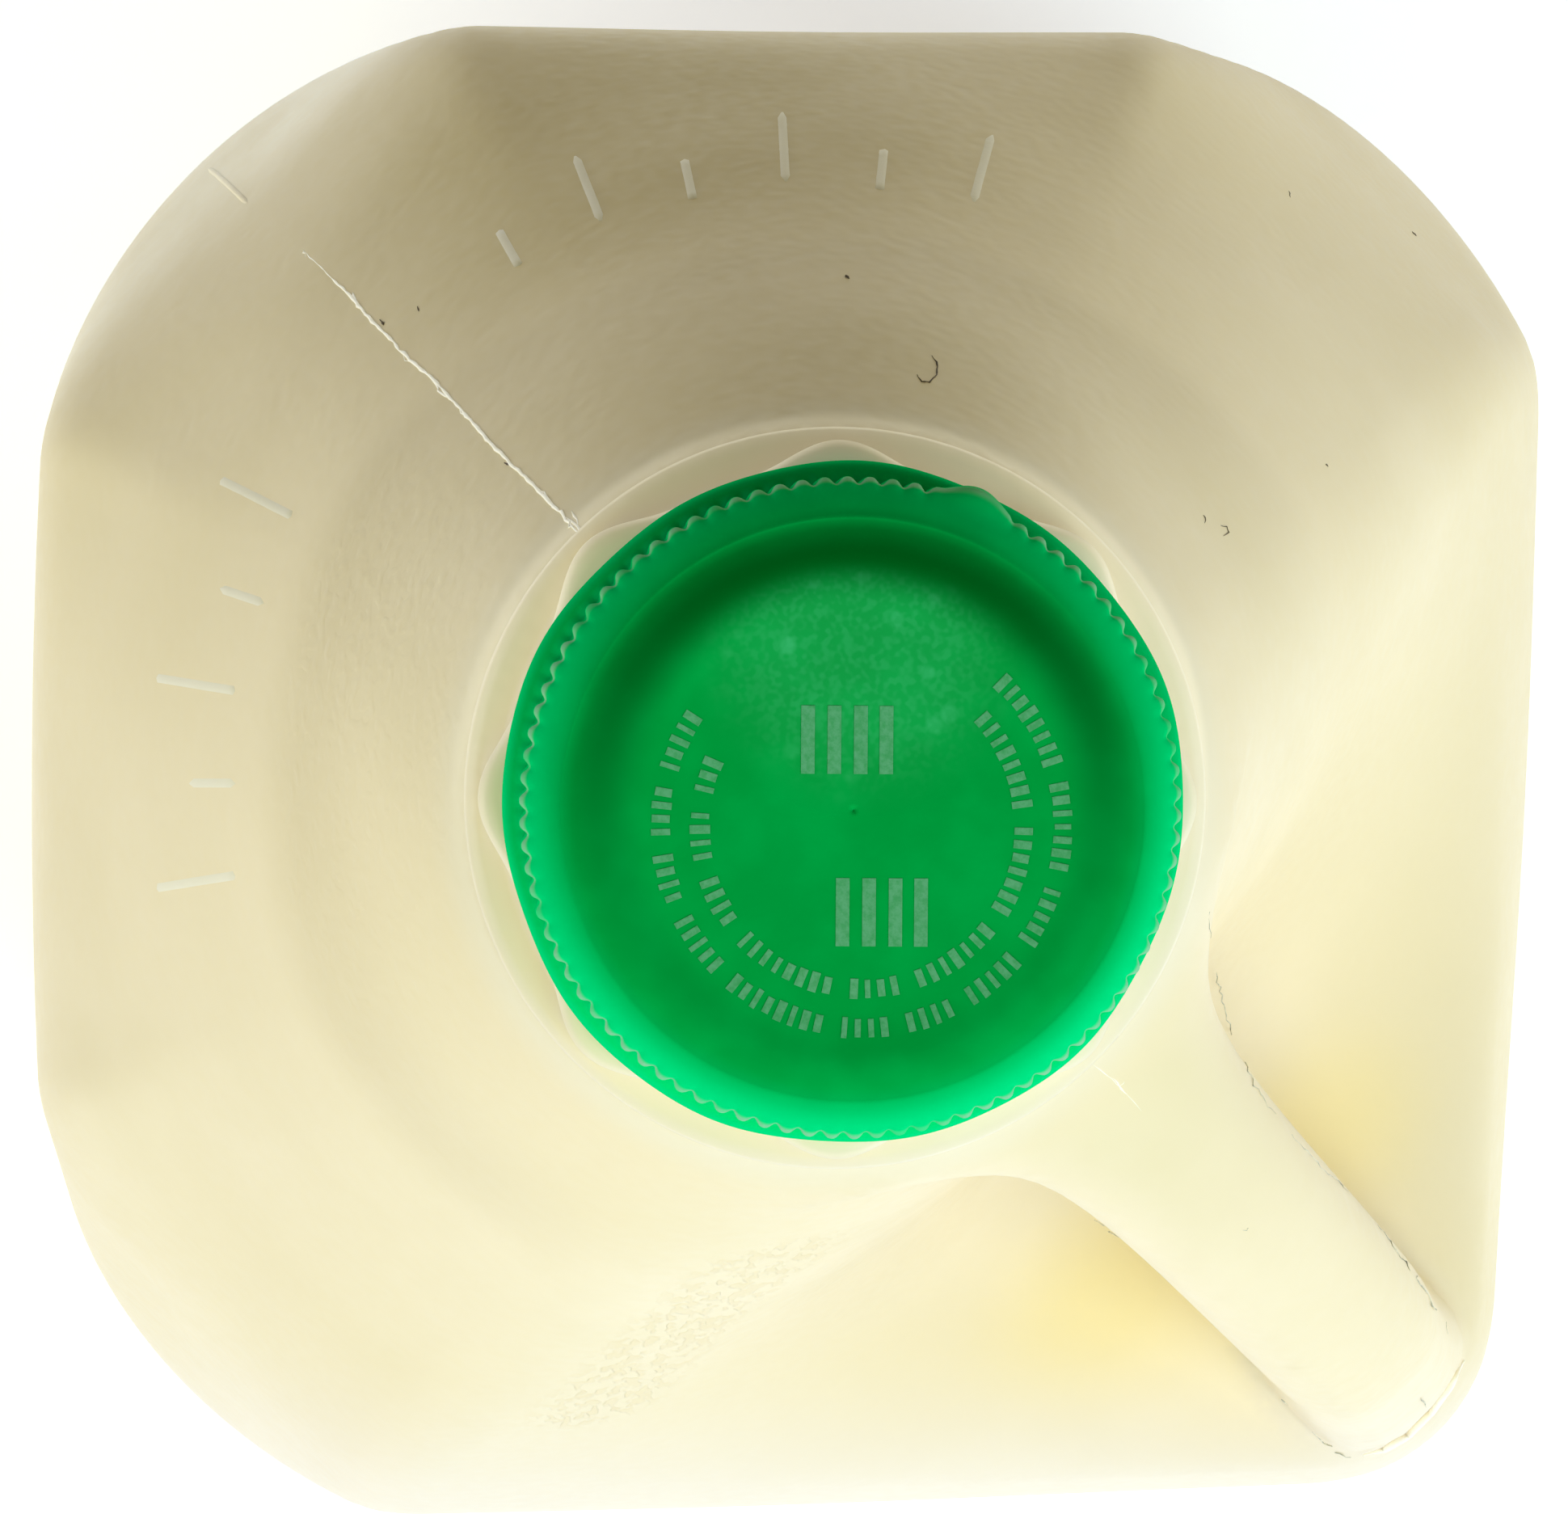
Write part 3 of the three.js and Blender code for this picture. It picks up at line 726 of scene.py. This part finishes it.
def add_bar(right, down, wide, tall, turn=0.0):
    """A bar, placed in mm to the right of and below the panel's middle as the photograph shows it."""
    start = len(print_verts)
    for a, b in ((-1, -1), (1, -1), (1, 1), (-1, 1)):
        u = right + a * wide / 2 * math.cos(turn) - b * tall / 2 * math.sin(turn)
        v = down + a * wide / 2 * math.sin(turn) + b * tall / 2 * math.cos(turn)
        azimuth, r = image_angle(math.degrees(math.atan2(v, u))), math.hypot(u, v)
        print_verts.append((r * math.cos(azimuth), r * math.sin(azimuth), panel_height(r) + PRINT_LIFT))
    print_faces.append([start + 3, start + 2, start + 1, start])


ARC_RIGHT, ARC_DOWN = 0.5, 1.0
for arc_radius, first, last, pitch in ((11.8, -46, 214, 3.8), (9.5, -42, 206, 4.8)):
    run = rng.integers(4, 9)
    for turn in np.radians(np.arange(first, last, pitch)):
        if run == 0:
            run = rng.integers(4, 9)
            continue
        right, down = ARC_RIGHT + arc_radius * math.cos(turn), ARC_DOWN + arc_radius * math.sin(turn)
        wide, tall = 0.3 + 0.22 * rng.random(), 0.95 + 0.3 * rng.random()
        add_bar(right, down, wide, tall, turn - math.pi / 2)
        run -= 1
BAR_WIDE, BAR_TALL = 0.8, 4.0
for right, down in ((-0.4, -4.1), (1.7, 6.0)):
    for column in (-2.3, -0.75, 0.8, 2.3):
        add_bar(right + column, down, BAR_WIDE, BAR_TALL)
prints = make_piece("cap_print", print_verts, print_faces, PRINT, smooth=False)
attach(prints, "root")


def tube(points, radii):
    """A closed tube through points in mm, with a radius at each."""
    points, radii = np.asarray(points, float), np.broadcast_to(radii, len(points))
    tangent = np.gradient(points, axis=0)
    tangent /= np.linalg.norm(tangent, axis=1)[:, None]
    side = np.cross(tangent, (0.0, 0.0, 1.0))
    side /= np.maximum(np.linalg.norm(side, axis=1), 1e-6)[:, None]
    up = np.cross(side, tangent)
    sides, verts = 8, []
    for k in range(sides):
        a = 2 * math.pi * k / sides
        verts.append(points + radii[:, None] * (math.cos(a) * side + math.sin(a) * up))
    count = len(points)
    faces = []
    for k in range(sides):
        m = (k + 1) % sides
        for i in range(count - 1):
            faces.append([k * count + i, m * count + i, m * count + i + 1, k * count + i + 1])
    faces.append([k * count for k in range(sides)])
    faces.append([k * count + count - 1 for k in reversed(range(sides))])
    return np.vstack(verts), faces


LEAP = 4.0


def surface_tubes(name, strokes, material, sink, step=2.0):
    """One piece of tubes along pixel paths, each sunk into the surface by a share of its radius.

    A stroke is its path, its radius in mm and the unevenness of its points in pixels."""
    verts, faces, start = [], [], 0
    for path, radius, jitter in strokes:
        path = np.array(path, float)
        length = np.concatenate([[0], np.cumsum(np.hypot(*np.diff(path, axis=0).T))])
        count = max(int(length[-1] / (step * 3)), 4)
        u = np.linspace(0, length[-1], count)
        fine = np.stack([np.interp(u, length, path[:, 0]), np.interp(u, length, path[:, 1])], 1)
        fine += rng.normal(0, jitter, fine.shape)
        points = on_jug(fine)
        slope = gradient(jug_field, points)
        out = slope / np.linalg.norm(slope, axis=1)[:, None]
        ends = np.clip(np.minimum(u, length[-1] - u) / (length[-1] * 0.5) * 3, 0.35, 1)
        radii = radius * ends * (1 + (0.5 if jitter else 0) * rng.uniform(-1, 1, count))
        # a path that leaves one face for another behind it is broken there
        leaps = np.flatnonzero(np.linalg.norm(np.diff(points, axis=0), axis=1) > LEAP) + 1
        for run in np.split(np.arange(count), leaps):
            if len(run) < 3:
                continue
            v, f = tube((points - out * (radius * sink))[run], radii[run])
            verts.append(v)
            faces += [[i + start for i in face] for face in f]
            start += len(v)
    piece = make_piece(name, np.vstack(verts), faces, material)
    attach(piece, "root")


FLASH_LINE = (
    (375, 310), (398, 332), (425, 357), (455, 391), (500, 438), (524, 459), (545, 479), (575, 512),
    (600, 541), (625, 567), (650, 590), (680, 621), (712, 655), (730, 671), (745, 685),
)
# a thin white line along the handle's end, drawn as a glowing ridge of the flash material: a painted
# highlight
HANDLE_CRESCENT = ((1688, 1801), (1712, 1795), (1742, 1778), (1772, 1748), (1795, 1716), (1812, 1684))
spurs = [
    ((375, 310), (378, 318)), ((436, 361), (441, 372)),
    ((708, 632), (716, 650)), ((700, 640), (722, 658)),
]
flash_strokes = [(FLASH_LINE, 0.12, 0.7), (FLASH_LINE[4:9], 0.07, 2.2), (FLASH_LINE[10:], 0.09, 2.4)]
flash_strokes += [(spur, 0.07, 0.8) for spur in spurs]
flash_strokes += [(((1377, 1334), (1392, 1352)), 0.06, 1.0), (((1392, 1338), (1385, 1348)), 0.05, 1.0)]
flash_strokes += [(((1350, 1316), (1378, 1336), (1412, 1374)), 0.035, 0.6)]
flash_strokes.append((HANDLE_CRESCENT, 0.3, 0.0))
surface_tubes("jug_flash", flash_strokes, FLASH, sink=0.2)
CREASE = ((250, 204), (264, 212), (284, 230), (312, 257))
surface_tubes("jug_crease", [(CREASE, 0.3, 0.0)], JUG, sink=0.55)

# thin grey lines along the handle's edges, where it meets the pockets: painted shade in these creases
HANDLE_EDGE_SHADES = (
    (
        (1496, 1128), (1499, 1160), (1504, 1195), (1509, 1230),
        (1521, 1268), (1534, 1304), (1552, 1340), (1577, 1378),
    ),
    ((1600, 1405), (1640, 1448), (1668, 1474)),
    ((1706, 1514), (1722, 1537), (1738, 1560), (1756, 1585), (1773, 1610), (1794, 1648)),
    ((1340, 1503), (1362, 1515), (1384, 1531)),
    ((1540, 1684), (1566, 1710), (1598, 1745)),
    ((1625, 1772), (1648, 1795), (1672, 1806)),
    ((1757, 1728), (1764, 1742)),
    ((1539, 1522), (1546, 1519)),
)
surface_tubes("jug_handle_edge_shades", [(path, 0.04, 1.5) for path in HANDLE_EDGE_SHADES], HANDLE_EDGE_SHADE, sink=0.1)

HAIRS = (
    (((1153, 440), (1160, 450), (1159, 463), (1150, 473), (1140, 472), (1135, 464)), 0.045),
    (((1489, 637), (1492, 642), (1490, 647)), 0.035),
    (((1510, 650), (1518, 652), (1520, 659), (1513, 663)), 0.035),
    (((517, 379), (518, 386)), 0.05),
    (((471, 396), (475, 402)), 0.08),
    (((624, 572), (629, 576)), 0.07),
    (((1046, 341), (1051, 345)), 0.07),
    (((1640, 574), (1643, 577)), 0.05),
    (((1747, 287), (1752, 292)), 0.05),
    (((1595, 236), (1597, 244)), 0.03),
)
specks = [(path, radius, 0.3) for path, radius in HAIRS]
surface_tubes("jug_specks", specks, DIRT, sink=-0.3, step=1.0)


def tick(turn, near, far):
    """A plain raised tick on the shoulder, between two distances in pixels from its middle."""
    a = math.radians(turn)
    middle = np.array((1010.0, 968.0))
    way = np.array((math.cos(a), math.sin(a)))
    return tuple(middle + way * near), tuple(middle + way * far)


ticks = [tick(turn, 725, far) for turn, far in zip(range(240, 294, 9), (800, 850, 800, 850, 800, 850))]
ticks += [tick(turn, 705, far) for turn, far in zip(range(171, 216, 9), (850, 790, 850, 790, 850))]
surface_tubes("jug_ticks", [(path, 1.8, 0.0) for path in ticks], RAISED, sink=0.93)

# Floor and light
floor_tree = Nodes("floor")
floor_tone = floor_tree.mix(floor_tree.noise(300, 0), (0.93, 0.93, 0.925, 1), (0.95, 0.95, 0.945, 1))
# the backdrop stays white in the corner that the lights reach least
backdrop = floor_tree.ramp(floor_tree.spot((-130, 10, 0), 120, 0.8), 0.0, 1.0, 0.44, 0.60)
floor_tree.finish(
    Base_Color=floor_tone,
    Roughness=0.9,
    Emission_Color=(0.94, 0.96, 1, 1),
    Emission_Strength=backdrop,
)
floor_mesh = bpy.data.meshes.new("floor")
FLOOR_REACH = 5.0
corners = [(a * FLOOR_REACH, b * FLOOR_REACH, 0) for a, b in ((-1, -1), (1, -1), (1, 1), (-1, 1))]
floor_mesh.from_pydata(corners, [], [(0, 1, 2, 3)])
floor = bpy.data.objects.new("floor", floor_mesh)
floor_mesh.materials.append(floor_tree.material)
bpy.context.scene.collection.objects.link(floor)


def softbox(turn, lift, watts):
    """An area light aimed at the jug, from a direction clockwise from the photograph's right."""
    name = "soft_%d_%d" % (turn, lift)
    data = bpy.data.lights.new(name, "AREA")
    data.shape, data.size, data.energy = "DISK", LIGHT_SIZE, max(watts)
    data.color = [w / max(watts) for w in watts]
    lamp = bpy.data.objects.new(name, data)
    bpy.context.scene.collection.objects.link(lamp)
    a, e = image_angle(turn), math.radians(lift)
    away = Vector((math.cos(a) * math.cos(e), math.sin(a) * math.cos(e), math.sin(e)))
    lamp.location = Vector((0, 0, LIGHT_AIM_Z)) + away * LIGHT_DISTANCE
    lamp.rotation_euler = away.to_track_quat("Z", "Y").to_euler()


LIGHT_DISTANCE, LIGHT_SIZE, LIGHT_AIM_Z = 1.2, 0.8, 0.15
# turn, lift and watts of red, green and blue
LIGHTS = [
    (0, 12, (2.4, 3.0, 4.0)),
    (45, 40, (7.2, 8.2, 9.0)),
    (90, 12, (0.0, 0.0, 1.7)),
    (90, 68, (3.0, 3.4, 2.1)),
    (135, 12, (0.5, 1.1, 2.3)),
    (135, 40, (3.8, 3.65, 1.9)),
    (180, 12, (4.2, 4.1, 4.4)),
    (315, 12, (1.9, 1.3, 0.0)),
]
for turn, lift, watts in LIGHTS:
    softbox(turn, lift, watts)
world = bpy.data.worlds.new("studio")
world.use_nodes = True
background = world.node_tree.nodes["Background"]
background.inputs["Color"].default_value = (1, 1, 1, 1)
background.inputs["Strength"].default_value = 0.02
bpy.context.scene.world = world
bpy.context.scene.view_settings.view_transform = "Standard"
